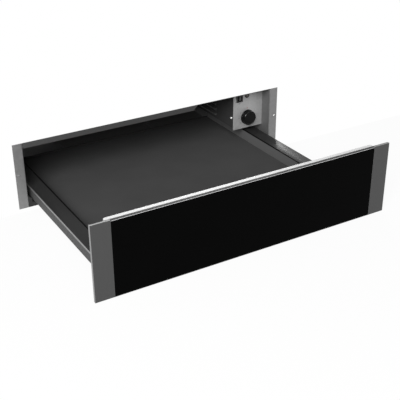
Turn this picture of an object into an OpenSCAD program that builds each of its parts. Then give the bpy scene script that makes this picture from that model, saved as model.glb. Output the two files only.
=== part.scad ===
// Built-in warming drawer, pulled open: a flat sheet steel housing with a warm-air box
// at its upper right, and a shallow tray on nested ball runners behind a glass front.
// +X is right seen from the front, +Y runs back into the niche, +Z is up.
// Heights in the modules are above the niche floor that the feet stand on, and placed()
// moves the origin to the frame's front plane, midway between its two fixing screws.

/* [Housing] */
// Width of the frame strips that stand out beside the housing
strip_w = 18.5; // [14:0.5:24]
// Depth of the housing from its front frame to its back plate
body_d = 540; // [510:1:550]
// Height of the housing above its feet
body_h = 133; // [130:1:150]
// Height of the feet
foot_h = 8; // [6:0.5:12]
// Diameter of the feet
foot_d = 28; // [20:1:40]
// Thickness of the folded steel sheet
sheet_t = 1; // [0.8:0.1:1.2]
// How far the frame's side edges lie inside the front panel's edges
frame_inset = 1; // [0.5:0.5:3]
// Height of the front rail below the top plate
rail_drop = 11; // [8:0.5:12]
// Height of the front lip on the base plate
lip_h = 9; // [8:0.5:9.5]
// Diameter of the fixing screw holes in the frame
screw_hole_d = 5.2; // [4:0.1:6]
// Distance of the fixing screws from the frame's outer edge
screw_inset = 6; // [5:0.5:8]
// Height of the fixing screws above the housing's underside
screw_rise = 70; // [40:1:100]

/* [Front] */
// Width of the front panel
front_w = 596; // [594:1:600]
// Thickness of the front glass
glass_t = 4; // [3:0.5:6]
// Width of each brushed steel strip beside the glass
trim_w = 35; // [20:1:60]
// Depth of the carrier behind the front panel
carrier_d = 14; // [12:1:20]
// Depth of the light metal bar on top of the carrier
bar_d = 10; // [7:0.5:11]
// Height of the light metal bar
bar_h = 3; // [2:0.5:4]

/* [Tray] */
// How far the drawer stands open
opening = 328; // [0:1:430]
// Full travel of the drawer
travel = 430; // [330:1:440]
// Height of the tray's walls above its floor sheet
tray_wall = 23.5; // [22:0.5:28]
// Height of the low lip that ends the tray at the back
tray_lip = 5; // [4:0.5:8]
// Thickness of the glass plate that lies in the tray
plate_t = 2.5; // [2:0.5:4]
// Space between the tray's back and the outside of the back plate
tray_back_space = 20; // [16:1:30]

/* [Runners] */
// Width of the runner's cabinet member
runner_w = 27; // [27:0.5:32]
// Height of the closed runner
runner_h = 12.7; // [12.5:0.1:14]
// Thickness of the runner members
runner_t = 1.5; // [1.4:0.1:1.6]
// Diameter of the bearing balls
ball_d = 3; // [2.8:0.1:3]

/* [Warm-air box] */
// Width of the warm-air box
box_w = 74.5; // [70:0.5:90]
// Depth of the warm-air box
box_d = 292; // [280:1:340]
// Distance of the control panel behind the frame
recess = 28; // [22:1:50]
// Height of the gap between the tray's channels and the box
box_clear = 14; // [8:1:16]
// Pitch of the louvres
louvre_pitch = 12.5; // [10:0.5:16]
// Space between the louvres and the box's back
louvre_back_space = 34; // [20:1:90]

/* [Controls] */
// Diameter of the knob's skirt
knob_d = 33; // [26:1:40]
// Height of the knob above the control panel
knob_h = 12; // [10:0.5:20]
// Diameter of the selector shaft
shaft_d = 6; // [5:0.5:8]
// Width of the rocker switch
switch_w = 15; // [13:0.5:18]
// Height of the rocker switch
switch_h = 21; // [19:0.5:24]
// Diameter of the pilot lamp's lens
lamp_d = 11; // [8:0.5:13]

/* [Fan] */
// Space for the heater between the louvres and the fan wheel
heater_space = 26; // [24:0.5:32]
// Space behind the fan's motor in the box
motor_space = 32; // [24:1:70]
// Number of blades on the fan wheel
blade_count = 20; // [12:1:24]
// Diameter of the fan shaft
fan_shaft_d = 4; // [3:0.5:6]

/* [Hidden] */
$fn = 64;
overrun = 0.5;
seat_gap = 0.3;
run_gap = 0.05;

// Housing levels and faces
base_z = foot_h;
floor_in_z = base_z + sheet_t;
top_z = base_z + body_h;
roof_z = top_z - sheet_t;
frame_out = front_w / 2 - frame_inset;
side_out = frame_out - strip_w;
side_in = side_out - sheet_t;
back_in = body_d - sheet_t;
screw_x = frame_out - screw_inset;
screw_z = base_z + screw_rise;
rim_w = 1.4;
rim_h = 0.5;
foot_from_front = 36;
foot_from_back = 40;
foot_from_side = 48;
foot_bevel = 1.5;
lip_end_h = 15;
lip_end_gap = 2;
lip_end_fall = 7;
vent_w = 4;
vent_h = 40;
vent_pitch = 12;
vent_count = 14;
vent_x = -180;
gland_x_from_side = 38;
gland_z_from_top = 40;
gland_d = 20;
bead_w = 12;
bead_h = 1.5;
bead_from_side = 110;
bead_end_gap = 60;

// Drawer levels: the tray passes just above the lip
tray_lift = 0.5;
tray_z = base_z + lip_h + tray_lift;
tray_floor_z = tray_z + sheet_t;
channel_low = 4.5;
channel_z = tray_z + tray_wall;
flange_z = channel_z + sheet_t;
side_gap = 9.5;
runner_side_gap = 1.5;
channel_out = side_in - side_gap;
channel_in = channel_out - sheet_t;
tray_in = channel_in - runner_w - 2 * runner_side_gap - sheet_t;
channel_inner_wall = tray_in + sheet_t;
front_gap = 3;
tray_y = -front_gap;
tray_end = body_d - tray_back_space;
plate_gap = 0.5;

// Front faces, drawer shut
carrier_back = -front_gap;
carrier_front = carrier_back - carrier_d;
front_t = sheet_t + glass_t;
front_face = carrier_front - front_t;
front_low = 1;
front_high = top_z;
front_half = front_w / 2;
glass_half = front_half - trim_w;
glass_gap = 0.2;
carrier_low = 5;
carrier_top_gap = 3.5;
bar_side_gap = 8.5;
bar_top = front_high - carrier_top_gap;
carrier_top = bar_top - bar_h;
bar_half = side_in - bar_side_gap;
carrier_inset = 5;
carrier_half = bar_half - carrier_inset;
buffer_d = 8;
buffer_h = 2;
buffer_x = carrier_half - 3 * buffer_d;
buffer_right_x = 60;

// Runner section, measured from the middle of its underside
ball_r = ball_d / 2;
bite = 0.1;
race_gap = 0.3;
race_r = ball_r + race_gap;
web_gap = 0.5;
flange_short = 2.5;
half_outer = runner_w / 2;
outer_ball_x = half_outer - runner_t + bite - ball_r;
half_middle = outer_ball_x - ball_r + bite;
inner_ball_x = half_middle - runner_t + bite - ball_r;
half_inner = inner_ball_x - ball_r + bite;
middle_low = runner_t + web_gap;
inner_low = middle_low + runner_t + web_gap;
flange_top = runner_h - flange_short;
ball_v = (inner_low + flange_top) / 2;
cage_t = 0.6;
cage_h = 4;
ball_pitch = 20;
ball_end_gap = 6;
runner_x = channel_in - runner_side_gap - half_outer;
runner_z = channel_z - runner_h;
runner_y = 4;
runner_back_gap = 11;
runner_end = tray_end - runner_back_gap;
runner_len = runner_end - runner_y;
cage_trim = 4;
cage_len = runner_len - travel / 2 - cage_trim;
cage_y = runner_y + (runner_len - cage_len) / 2;
support_w = 18;
support_t = 1.5;
support_inset = 4;

// Warm-air box
box_x = side_in - box_w;
box_z = flange_z + box_clear;
panel_drop = 5;
panel_z = box_z - panel_drop;
panel_back = recess + sheet_t;
box_end = recess + box_d;
flap_d = 15;
louvre_setback = 68;
louvre_y = recess + louvre_setback;
louvre_len = box_d - louvre_setback - louvre_back_space;
louvre_out = 4;
louvre_margin = 8;
louvre_rows = floor((roof_z - box_z - 2 * louvre_margin) / louvre_pitch);
rail_gap = 115;
rail_end = box_x - rail_gap;
cover_screw_d = 6;
cover_screw_h = 2.4;
cover_screw_y = recess + 6.6;
cover_screw_rise = 22;

// Controls on the panel
knob_side_share = 0.5208;
knob_x = side_in - box_w * knob_side_share;
knob_rise = 25;
knob_z = panel_z + knob_rise;
knob_gap = 0.5;
skirt_h = 2.5;
knob_step = 1;
knob_bevel = 0.8;
knob_mark_w = 1.2;
knob_mark_d = 0.6;
bore_depth_share = 0.75;
bush_h = 10;
thermostat_d = 34;
thermostat_h = 22;
thermostat_lip = 1.2;
shaft_hole_gap = 1;
lamp_side_share = 0.5383;
lamp_x = side_in - box_w * lamp_side_share;
lamp_drop = 14.5;
lamp_z = roof_z - lamp_drop;
lens_h = 2.5;
lamp_body_share = 0.8;
lamp_body_len = 18;
switch_side_share = 0.796;
switch_x = side_in - box_w * switch_side_share;
switch_drop = 16;
switch_z = roof_z - switch_drop;
switch_rim = 2;
bezel_h = 2;
switch_body_in = 1.2;
switch_body_len = 22;
rocker_gap = 0.6;
rocker_tilt = 8;
rocker_pivot = 5;
rocker_front = 5.2;
rocker_back = 2.5;
rocker_pin_d = 2;

// Fan, heater and their casing
casing_y = louvre_y + 6;
casing_t = 1;
casing_gap = 0.3;
wheel_end_gap = 2;
motor_d = 34;
motor_len = 30;
casing_end_y = box_end - motor_space - motor_len - casing_t;
wheel_y = casing_y + casing_t + wheel_end_gap;
wheel_end = casing_end_y - wheel_end_gap;
guide_gap = 3;
guide_side_gap = 2.5;
wheel_d = box_w - heater_space - guide_side_gap - casing_t - guide_gap;
guide_r = wheel_d / 2 + guide_gap;
fan_x = side_in - guide_side_gap - casing_t - guide_r;
fan_z = (box_z + roof_z) / 2;
guide_open_share = 0.35;
disc_t = 1.5;
blade_t = 0.8;
blade_depth_share = 0.24;
blade_curve_share = 0.7;
blade_lean = 25;
shaft_front = 3;
stack_margin = 2;
stack_w = wheel_d + 2 * stack_margin;
stack_t = 14;
motor_bore_len = 12;
heater_d = 6.5;
heater_from_side = 11;
heater_x = box_x + heater_from_side;
heater_pitch = 14;
heater_hole_gap = 0.3;
heater_tail = 8;
cutout_d = 16;
cutout_h = 9;
cutout_from_guide = 0.5;
cutout_x = box_x + sheet_t + cutout_d;
cutout_z = box_z + sheet_t + cutout_d / 2 + cutout_from_guide;

// Flat push latch under the tray and the keeper that meets it, drawer shut
latch_w = 26;
latch_len = 54;
latch_gap = 9;
latch_clear = 1.2;
latch_wall = 1.2;
latch_h = tray_z - floor_in_z - latch_clear;
latch_z = floor_in_z + latch_h / 2;
plunger_w = latch_h - 2 * latch_wall;
plunger_len = 32;
head_low = 1.1;
head_d = latch_h - 2 * head_low;
head_h = 3.2;
keeper_w = 22;
keeper_t = 1.5;
keeper_foot = 14;
keeper_low = 1.5;
keeper_from_end = 66;
keeper_y = tray_end - keeper_from_end;
latch_y = keeper_y + latch_gap;
head_y = keeper_y + keeper_t + seat_gap;

// Terminal block and cord gland
block_w = 44;
block_d = 24;
block_h = 22;
block_rise = 12;
pole_d = 6;
pole_depth = 8;
pole_pitch = 14;
gland_flange = 4;
gland_flange_h = 6;
gland_bore_d = 9;
gland_nut_h = 6;
gland_x = side_in - gland_x_from_side;
gland_z = top_z - gland_z_from_top;

// A block given by its two faces along each axis
module span(x, y, z) {
    translate([x[0], y[0], z[0]])
        cube([x[1] - x[0], y[1] - y[0], z[1] - z[0]]);
}

// A drawing in X and Z, extruded from y0 to y1
module along_y(y0, y1) {
    translate([0, y1, 0])
        rotate([90, 0, 0])
            linear_extrude(y1 - y0)
                children();
}

// A round rod along Y
module rod(x, z, y0, y1, d) {
    translate([x, y1, z])
        rotate([90, 0, 0])
            cylinder(d = d, h = y1 - y0);
}

// Heights moved so that the fixing screws lie at the origin's level
module placed() {
    translate([0, 0, -screw_z])
        children();
}

// A copy on the right for side 1, on the left for side -1
module on_side(side) {
    if (side > 0)
        children();
    else
        mirror([1, 0, 0])
            children();
}

// Moved forward with a share of the drawer's opening
module slid(travel_share) {
    translate([0, -opening * travel_share, 0])
        children();
}

// A slot outline with round ends, length along Z
module slot_2d(x, z, w, h) {
    translate([x - w / 2, z - h / 2 + w / 2])
        square([w, h - w]);
    for (end = [-1, 1])
        translate([x, z + end * (h - w) / 2])
            circle(d = w);
}

// Front lip in outline, raised at each end beside the tray's channels
module lip_2d() {
    end_z = base_z + lip_h + lip_end_h;
    end_x = channel_out + lip_end_gap;
    polygon([
        [-side_in, base_z],
        [side_in, base_z],
        [side_in, end_z],
        [end_x, end_z - lip_end_fall],
        [end_x, base_z + lip_h],
        [-end_x, base_z + lip_h],
        [-end_x, end_z - lip_end_fall],
        [-side_in, end_z]
    ]);
}

// One pressed bead along the base plate, drawn in by a wall thickness for its hollow
module bead(x, wall, high_z) {
    half_w = bead_w / 2 - wall;
    low_z = wall > 0 ? base_z - overrun : base_z;
    translate([x, 0, 0])
        span([-half_w, half_w], [bead_end_gap + wall, latch_y - bead_end_gap - wall], [low_z, high_z]);
}

// Base plate with its front lip and two pressed stiffening beads
module housing_base() {
    color("dimgray")
        difference() {
            union() {
                span([-side_in, side_in], [0, back_in], [base_z, floor_in_z]);
                along_y(0, sheet_t)
                    lip_2d();
                for (side = [-1, 1])
                    bead(side * bead_from_side, 0, floor_in_z + bead_h);
            }
            for (side = [-1, 1])
                bead(side * bead_from_side, sheet_t, base_z + bead_h);
        }
}

// Side wall, bent outward at the front into the frame strip with its screw hole
module housing_side() {
    color("silver")
        difference() {
            union() {
                span([side_in, side_out], [0, back_in], [base_z, top_z]);
                span([side_in, frame_out], [0, sheet_t], [base_z, top_z]);
                rod(screw_x, screw_z, -rim_h, sheet_t, screw_hole_d + 2 * rim_w);
            }
            rod(screw_x, screw_z, -rim_h - overrun, sheet_t + overrun, screw_hole_d);
        }
}

// Top plate with a front rail that ends in a mitre left of the warm-air box
module housing_top() {
    color("dimgray") {
        span([-side_in, side_in], [0, back_in], [roof_z, top_z]);
        along_y(0, sheet_t)
            polygon([
                [-side_in, top_z],
                [rail_end + rail_drop, top_z],
                [rail_end, top_z - rail_drop],
                [-side_in, top_z - rail_drop]
            ]);
    }
}

// Back plate with a row of vents and the hole for the cord gland
module housing_back() {
    color("silver")
        along_y(back_in, body_d)
            difference() {
                translate([-side_out, base_z])
                    square([2 * side_out, body_h]);
                for (i = [0 : vent_count - 1])
                    slot_2d(vent_x + i * vent_pitch, (base_z + top_z) / 2, vent_w, vent_h);
                translate([gland_x, gland_z])
                    circle(d = gland_d);
            }
}

// Four turned feet under the base plate
module feet() {
    color("black")
        for (side = [-1, 1])
            for (y = [foot_from_front, body_d - foot_from_back])
                translate([side * (side_out - foot_from_side), y, 0])
                    rotate_extrude()
                        polygon([
                            [0, 0],
                            [foot_d / 2 - foot_bevel, 0],
                            [foot_d / 2, foot_bevel],
                            [foot_d / 2, foot_h],
                            [0, foot_h]
                        ]);
}

// Control panel with a flap down each side
module control_panel() {
    color("lightgray")
        difference() {
            union() {
                span([box_x, side_in], [recess, panel_back], [panel_z, roof_z]);
                span([box_x + sheet_t, box_x + 2 * sheet_t], [panel_back, panel_back + flap_d],
                    [box_z + sheet_t, roof_z]);
                span([side_in - sheet_t, side_in], [panel_back, panel_back + flap_d],
                    [box_z + sheet_t, roof_z]);
            }
            rod(knob_x, knob_z, recess - overrun, panel_back + overrun, shaft_d + 2 * shaft_hole_gap);
            rod(lamp_x, lamp_z, recess - overrun, panel_back + overrun, lamp_d * lamp_body_share + seat_gap);
            switch_block(switch_body_in - seat_gap, recess - overrun, panel_back + overrun);
        }
}

// A louvre's form above height z: a quarter round with ball ends, past the sheet by an overrun
module louvre_form(z, r, past) {
    near_y = louvre_y + louvre_out;
    far_y = louvre_y + louvre_len - louvre_out;
    intersection() {
        union() {
            rod(box_x, z, near_y, far_y, 2 * r);
            for (y = [near_y, far_y])
                translate([box_x, y, z])
                    sphere(r = r);
        }
        span([box_x - r, box_x + sheet_t + past], [louvre_y, louvre_y + louvre_len], [z - past, z + r]);
    }
}

// Left side of the warm-air box, with rows of pressed louvres that open downward
module louvre_panel() {
    color("dimgray")
        difference() {
            union() {
                span([box_x, box_x + sheet_t], [panel_back, box_end], [box_z, roof_z]);
                for (i = [1 : louvre_rows])
                    louvre_form(box_z + i * louvre_pitch - louvre_out, louvre_out, 0);
            }
            for (i = [1 : louvre_rows])
                louvre_form(box_z + i * louvre_pitch - louvre_out, louvre_out - sheet_t, overrun);
        }
}

// Bottom of the warm-air box
module box_floor() {
    color("dimgray")
        span([box_x + sheet_t, side_in], [panel_back, box_end], [box_z, box_z + sheet_t]);
}

// Back of the warm-air box
module box_rear() {
    color("dimgray")
        span([box_x + sheet_t, side_in], [box_end - sheet_t, box_end], [box_z + sheet_t, roof_z]);
}

// Round-headed screw that holds the control panel's flap to the box
module cover_screw() {
    head_r = cover_screw_d / 2;
    color("white")
        translate([box_x, cover_screw_y, box_z + cover_screw_rise])
            rotate([0, -90, 0])
                rotate_extrude()
                    intersection() {
                        translate([0, cover_screw_h - head_r * head_r / cover_screw_h])
                            circle(r = head_r * head_r / cover_screw_h);
                        square([head_r, cover_screw_h]);
                    }
}

// Thermostat body behind the panel, with the bush that carries the shaft
module thermostat() {
    bush_end = panel_back + bush_h;
    color("beige")
        difference() {
            union() {
                rod(knob_x, knob_z, panel_back, panel_back + thermostat_h, thermostat_d);
                rod(knob_x, knob_z, panel_back + thermostat_h, panel_back + thermostat_h + thermostat_lip,
                    thermostat_d - 2 * thermostat_lip);
            }
            rod(knob_x, knob_z, panel_back - overrun, bush_end, shaft_d + 2 * run_gap);
        }
}

// Selector shaft from the thermostat's bush into the knob
module selector_shaft() {
    color("silver")
        rod(knob_x, knob_z, recess - knob_h * bore_depth_share, panel_back + bush_h - seat_gap, shaft_d);
}

// Turned knob with a skirt, a bevelled front and a pointer groove
module knob() {
    skirt_r = knob_d / 2;
    body_r = skirt_r - knob_step;
    color("black")
        difference() {
            translate([knob_x, recess, knob_z])
                rotate([90, 0, 0])
                    rotate_extrude()
                        polygon([
                            [shaft_d / 2, knob_gap],
                            [skirt_r, knob_gap],
                            [skirt_r, skirt_h],
                            [body_r, skirt_h + knob_step],
                            [body_r, knob_h - knob_bevel],
                            [body_r - knob_bevel, knob_h],
                            [0, knob_h],
                            [0, knob_h * bore_depth_share],
                            [shaft_d / 2, knob_h * bore_depth_share]
                        ]);
            span([knob_x - knob_mark_w / 2, knob_x + knob_mark_w / 2],
                [recess - knob_h - overrun, recess - knob_h + knob_mark_d],
                [knob_z + body_r / 2, knob_z + skirt_r]);
        }
}

// A block on the switch's place, drawn in by an inset on all four sides
module switch_block(inset, y0, y1) {
    half_w = switch_w / 2 - inset;
    half_h = switch_h / 2 - inset;
    span([switch_x - half_w, switch_x + half_w], [y0, y1], [switch_z - half_h, switch_z + half_h]);
}

// Rocker switch body: bezel in front of the panel, case behind it, open for the rocker
module switch_body() {
    pin_room = switch_w - switch_rim;
    color("dimgray")
        difference() {
            union() {
                switch_block(0, recess - bezel_h, recess);
                switch_block(switch_body_in, recess, recess + switch_body_len);
            }
            switch_block(switch_rim, recess - bezel_h - overrun, recess + rocker_pivot + 2 * rocker_back);
            translate([switch_x - pin_room / 2, recess + rocker_pivot, switch_z])
                rotate([0, 90, 0])
                    cylinder(d = rocker_pin_d + 2 * run_gap, h = pin_room);
        }
}

// Rocker on its pin, tipped to the off side
module rocker() {
    rocker_w = switch_w - 2 * switch_rim - 2 * rocker_gap;
    half_l = (switch_h - 2 * switch_rim) / 2 - rocker_gap - rocker_front * sin(rocker_tilt);
    color("black")
        translate([switch_x, recess + rocker_pivot, switch_z])
            rotate([rocker_tilt, 0, 0]) {
                translate([-rocker_w / 2, 0, 0])
                    rotate([90, 0, 90])
                        linear_extrude(rocker_w)
                            polygon([
                                [-rocker_front, -half_l],
                                [rocker_back - rocker_front, -half_l],
                                [rocker_back, 0],
                                [rocker_back - rocker_front, half_l],
                                [-rocker_front, half_l],
                                [-rocker_front + half_l * sin(rocker_tilt), 0]
                            ]);
                translate([-rocker_w / 2 - rocker_gap - sheet_t / 2, 0, 0])
                    rotate([0, 90, 0])
                        cylinder(d = rocker_pin_d, h = rocker_w + 2 * rocker_gap + sheet_t);
            }
}

// Pilot lamp with a domed lens in front of the panel
module pilot_lamp() {
    lens_r = lamp_d / 2;
    dome_r = (lens_r * lens_r + lens_h * lens_h) / (2 * lens_h);
    color("orangered") {
        translate([lamp_x, recess, lamp_z])
            rotate([90, 0, 0])
                rotate_extrude()
                    intersection() {
                        translate([0, lens_h - dome_r])
                            circle(r = dome_r);
                        square([lens_r, lens_h]);
                    }
        rod(lamp_x, lamp_z, recess, recess + lamp_body_len, lamp_d * lamp_body_share);
    }
}

// One end plate of the fan casing, with its bearing hole and the heater's holes
module casing_end(y, with_heater) {
    along_y(y, y + casing_t)
        difference() {
            translate([box_x + sheet_t + casing_gap, box_z + sheet_t])
                square([box_w - sheet_t - 2 * casing_gap, roof_z - box_z - sheet_t - casing_gap]);
            translate([fan_x, fan_z])
                circle(d = fan_shaft_d + 2 * run_gap);
            if (with_heater)
                for (row = [-1, 1])
                    translate([heater_x, fan_z + row * heater_pitch * 1.5])
                        circle(d = heater_d + 2 * heater_hole_gap);
        }
}

// Fan casing: two end plates joined by a round guide that opens to the louvres
module fan_casing() {
    color("lightsteelblue") {
        casing_end(casing_y, false);
        casing_end(casing_end_y, true);
        along_y(casing_y, casing_end_y + casing_t)
            difference() {
                translate([fan_x, fan_z])
                    circle(r = guide_r + casing_t);
                translate([fan_x, fan_z])
                    circle(r = guide_r);
                translate([fan_x - guide_r - 2 * casing_t, fan_z - guide_r - 2 * casing_t])
                    square([guide_r * (1 - guide_open_share) + 2 * casing_t, 2 * (guide_r + 2 * casing_t)]);
            }
    }
}

// One forward-curved blade in section, an arc that leans to the wheel's radius
module blade_2d() {
    depth = wheel_d * blade_depth_share / 2;
    arc_r = depth * blade_curve_share;
    arc_drop = sqrt(arc_r * arc_r - depth * depth / 4);
    translate([wheel_d / 2 - depth / 2, 0])
        rotate(blade_lean)
            intersection() {
                translate([0, -arc_drop])
                    difference() {
                        circle(r = arc_r);
                        circle(r = arc_r - blade_t);
                    }
                translate([-depth / 2, -blade_t])
                    square([depth, depth]);
            }
}

// Cross-flow fan wheel: three discs, curved blades and a shaft stub at each end
module fan_wheel() {
    color("gainsboro")
        translate([fan_x, 0, fan_z]) {
            for (y = [wheel_y, (wheel_y + wheel_end - disc_t) / 2, wheel_end - disc_t])
                rod(0, 0, y, y + disc_t, wheel_d);
            along_y(wheel_y, wheel_end)
                for (i = [0 : blade_count - 1])
                    rotate(i * 360 / blade_count)
                        blade_2d();
            rod(0, 0, casing_y - shaft_front, wheel_y, fan_shaft_d);
            rod(0, 0, wheel_end, casing_end_y + casing_t + motor_bore_len - seat_gap, fan_shaft_d);
        }
}

// Fan motor: laminated stack and round can, on the rear end plate
module fan_motor() {
    y0 = casing_end_y + casing_t;
    color("slategray")
        difference() {
            union() {
                span([fan_x - stack_w / 2, fan_x + stack_w / 2], [y0, y0 + stack_t],
                    [fan_z - stack_w / 2, fan_z + stack_w / 2]);
                rod(fan_x, fan_z, y0 + stack_t, y0 + motor_len, motor_d);
            }
            rod(fan_x, fan_z, y0 - overrun, y0 + motor_bore_len, fan_shaft_d + 2 * run_gap);
        }
}

// Half ring that joins two passes of the heater, opening towards -Y or +Y
module heater_bend(z, y, turn) {
    translate([heater_x, y, z])
        rotate([turn, 0, 0])
            rotate([0, 90, 0])
                rotate_extrude(angle = 180)
                    translate([heater_pitch / 2, 0])
                        circle(d = heater_d);
}

// Tubular heater: four passes beside the fan wheel, its ends through the rear end plate
module heating_element() {
    near_y = wheel_y + heater_pitch;
    far_y = wheel_end - heater_pitch;
    tail_y = casing_end_y + casing_t + heater_tail;
    low_z = fan_z - heater_pitch * 1.5;
    color("dimgray") {
        rod(heater_x, low_z, near_y, tail_y, heater_d);
        rod(heater_x, low_z + heater_pitch, near_y, far_y, heater_d);
        rod(heater_x, low_z + 2 * heater_pitch, near_y, far_y, heater_d);
        rod(heater_x, low_z + 3 * heater_pitch, near_y, tail_y, heater_d);
        heater_bend(low_z + heater_pitch / 2, near_y, 180);
        heater_bend(low_z + 1.5 * heater_pitch, far_y, 0);
        heater_bend(low_z + 2.5 * heater_pitch, near_y, 180);
    }
}

// Disc thermal cut-out on the front end plate
module thermal_cutout() {
    color("black") {
        rod(cutout_x, cutout_z, casing_y - cutout_h, casing_y, cutout_d);
    }
}

// Terminal block on the back of the warm-air box, its screws facing the cord gland
module terminal_block() {
    half_w = block_w / 2;
    low_z = box_z + block_rise;
    back_y = box_end + block_d;
    color("ivory")
        difference() {
            span([gland_x - half_w, gland_x + half_w], [box_end, back_y], [low_z, low_z + block_h]);
            for (i = [-1 : 1])
                rod(gland_x + i * pole_pitch, low_z + block_h / 2, back_y - pole_depth, back_y + overrun,
                    pole_d);
        }
}

// Cord gland in the back plate: flange and nose outside, nut inside
module cord_gland() {
    color("black")
        difference() {
            union() {
                rod(gland_x, gland_z, back_in - gland_nut_h, body_d + gland_flange_h, gland_d);
                rod(gland_x, gland_z, body_d, body_d + gland_flange, gland_d + 2 * gland_flange);
                translate([gland_x, back_in, gland_z])
                    rotate([90, 0, 0])
                        cylinder(d = gland_d + 2 * gland_flange, h = gland_nut_h, $fn = 6);
            }
            rod(gland_x, gland_z, back_in - gland_nut_h - overrun, body_d + gland_flange_h + overrun,
                gland_bore_d);
        }
}

// Flat push latch body on the base plate under the tray, with the plunger's square guide
module latch_body() {
    guide_w = plunger_w + 2 * seat_gap;
    color("darkgray")
        difference() {
            span([-latch_w / 2, latch_w / 2], [latch_y, latch_y + latch_len],
                [floor_in_z, floor_in_z + latch_h]);
            span([-guide_w / 2, guide_w / 2], [latch_y - overrun, latch_y + latch_len - latch_gap],
                [latch_z - guide_w / 2, latch_z + guide_w / 2]);
        }
}

// Latch plunger with a round magnet head
module latch_plunger() {
    color("white") {
        rod(0, latch_z, head_y, head_y + head_h, head_d);
        span([-plunger_w / 2, plunger_w / 2], [head_y + head_h, head_y + head_h + plunger_len],
            [latch_z - plunger_w / 2, latch_z + plunger_w / 2]);
    }
}

// Folded support that carries the cabinet member above the base plate
module runner_support() {
    color("gray")
        along_y(runner_y + support_inset, runner_end - support_inset)
            translate([runner_x, 0])
                difference() {
                    translate([-support_w / 2, floor_in_z])
                        square([support_w, runner_z - floor_in_z]);
                    translate([-support_w / 2 + support_t, floor_in_z + support_t])
                        square([support_w - support_t + overrun, runner_z - floor_in_z - 2 * support_t]);
                }
}

// A runner member of one section, at its place for the given share of the opening
module rail(travel_share) {
    color("lightgray")
        slid(travel_share)
            along_y(runner_y, runner_end)
                translate([runner_x, runner_z])
                    children();
}

// Ball grooves at distance x either side of the runner's middle
module races_2d(x) {
    for (side = [-1, 1])
        translate([side * x, ball_v])
            circle(r = race_r);
}

// Cabinet member: a wide channel with one groove inside each flange
module cabinet_rail() {
    rail(0)
        difference() {
            translate([-half_outer, 0])
                square([2 * half_outer, flange_top]);
            translate([-half_outer + runner_t, runner_t])
                square([2 * (half_outer - runner_t), flange_top]);
            races_2d(outer_ball_x);
        }
}

// Middle member: a channel with a groove on both faces of each flange
module middle_rail() {
    rail(1 / 2)
        difference() {
            translate([-half_middle, middle_low])
                square([2 * half_middle, flange_top - middle_low]);
            translate([-half_middle + runner_t, middle_low + runner_t])
                square([2 * (half_middle - runner_t), flange_top]);
            races_2d(outer_ball_x);
            races_2d(inner_ball_x);
        }
}

// Drawer member: a narrow channel that opens downward
module drawer_rail() {
    rail(1)
        difference() {
            translate([-half_inner, inner_low])
                square([2 * half_inner, runner_h - inner_low]);
            translate([-half_inner + runner_t, inner_low - overrun])
                square([2 * (half_inner - runner_t), runner_h - inner_low - runner_t + overrun]);
            races_2d(inner_ball_x);
        }
}

// Ball cage: a strip and a row of balls on each side of the runner's middle
module cage(ball_x, travel_share) {
    ball_count = floor((cage_len - 2 * ball_end_gap) / ball_pitch);
    row_len = ball_count * ball_pitch;
    color("gray")
        slid(travel_share)
            for (side = [-1, 1]) {
                along_y(cage_y, cage_y + cage_len)
                    translate([runner_x + side * ball_x - cage_t / 2, runner_z + ball_v - cage_h / 2])
                        square([cage_t, cage_h]);
                for (i = [0 : ball_count])
                    translate([runner_x + side * ball_x, cage_y + (cage_len - row_len) / 2 + i * ball_pitch,
                        runner_z + ball_v])
                        sphere(r = ball_r, $fn = 24);
            }
}

// Tray: one folded sheet with low walls and a lower lip at the back
module tray_pan() {
    color("dimgray")
        slid(1)
            difference() {
                span([-channel_inner_wall, channel_inner_wall], [tray_y, tray_end], [tray_z, channel_z]);
                span([-tray_in, tray_in], [tray_y + sheet_t, tray_end - sheet_t],
                    [tray_floor_z, channel_z + overrun]);
                span([-tray_in, tray_in], [tray_y + sheet_t, tray_end + overrun],
                    [tray_floor_z + tray_lip, channel_z + overrun]);
            }
}

// Side channel over the runner: top flange, outer wall and a front closure
module side_channel() {
    low_z = tray_z + channel_low;
    color("darkslategray")
        slid(1) {
            span([tray_in, channel_out], [tray_y, tray_end], [channel_z, flange_z]);
            span([channel_in, channel_out], [tray_y, tray_end], [low_z, channel_z]);
            span([channel_inner_wall, channel_in], [tray_y, tray_y + sheet_t], [low_z, channel_z]);
        }
}

// Dark glass plate in the tray
module tray_plate() {
    color("darkslategray")
        slid(1)
            span([-tray_in + plate_gap, tray_in - plate_gap],
                [tray_y + sheet_t + plate_gap, tray_end - sheet_t - plate_gap],
                [tray_floor_z, tray_floor_z + plate_t]);
}

// Carrier behind the front: a shallow folded box, open towards the front panel
module front_carrier() {
    color("dimgray")
        slid(1)
            difference() {
                span([-carrier_half, carrier_half], [carrier_front, carrier_back],
                    [carrier_low, carrier_top]);
                span([-carrier_half + sheet_t, carrier_half - sheet_t],
                    [carrier_front - overrun, carrier_back - sheet_t],
                    [carrier_low + sheet_t, carrier_top - sheet_t]);
            }
}

// Light metal bar along the carrier's top, with round ends
module top_bar() {
    color("gainsboro")
        slid(1)
            translate([0, carrier_back - bar_d / 2, carrier_top])
                linear_extrude(bar_h) {
                    square([2 * bar_half - bar_d, bar_d], center = true);
                    for (side = [-1, 1])
                        translate([side * (bar_half - bar_d / 2), 0])
                            circle(d = bar_d);
                }
}

// Steel backing of the front panel, folded forward over the glass at top and bottom
module front_backing() {
    color("silver")
        slid(1) {
            span([-front_half + sheet_t, front_half - sheet_t], [carrier_front - sheet_t, carrier_front],
                [front_low, front_high]);
            for (z = [front_low, front_high - sheet_t])
                span([-glass_half, glass_half], [front_face, carrier_front - sheet_t], [z, z + sheet_t]);
        }
}

// Black glass in the middle of the front
module front_glass() {
    color("black")
        slid(1)
            span([-glass_half + glass_gap, glass_half - glass_gap], [front_face, carrier_front - sheet_t],
                [front_low + sheet_t, front_high - sheet_t]);
}

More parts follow.
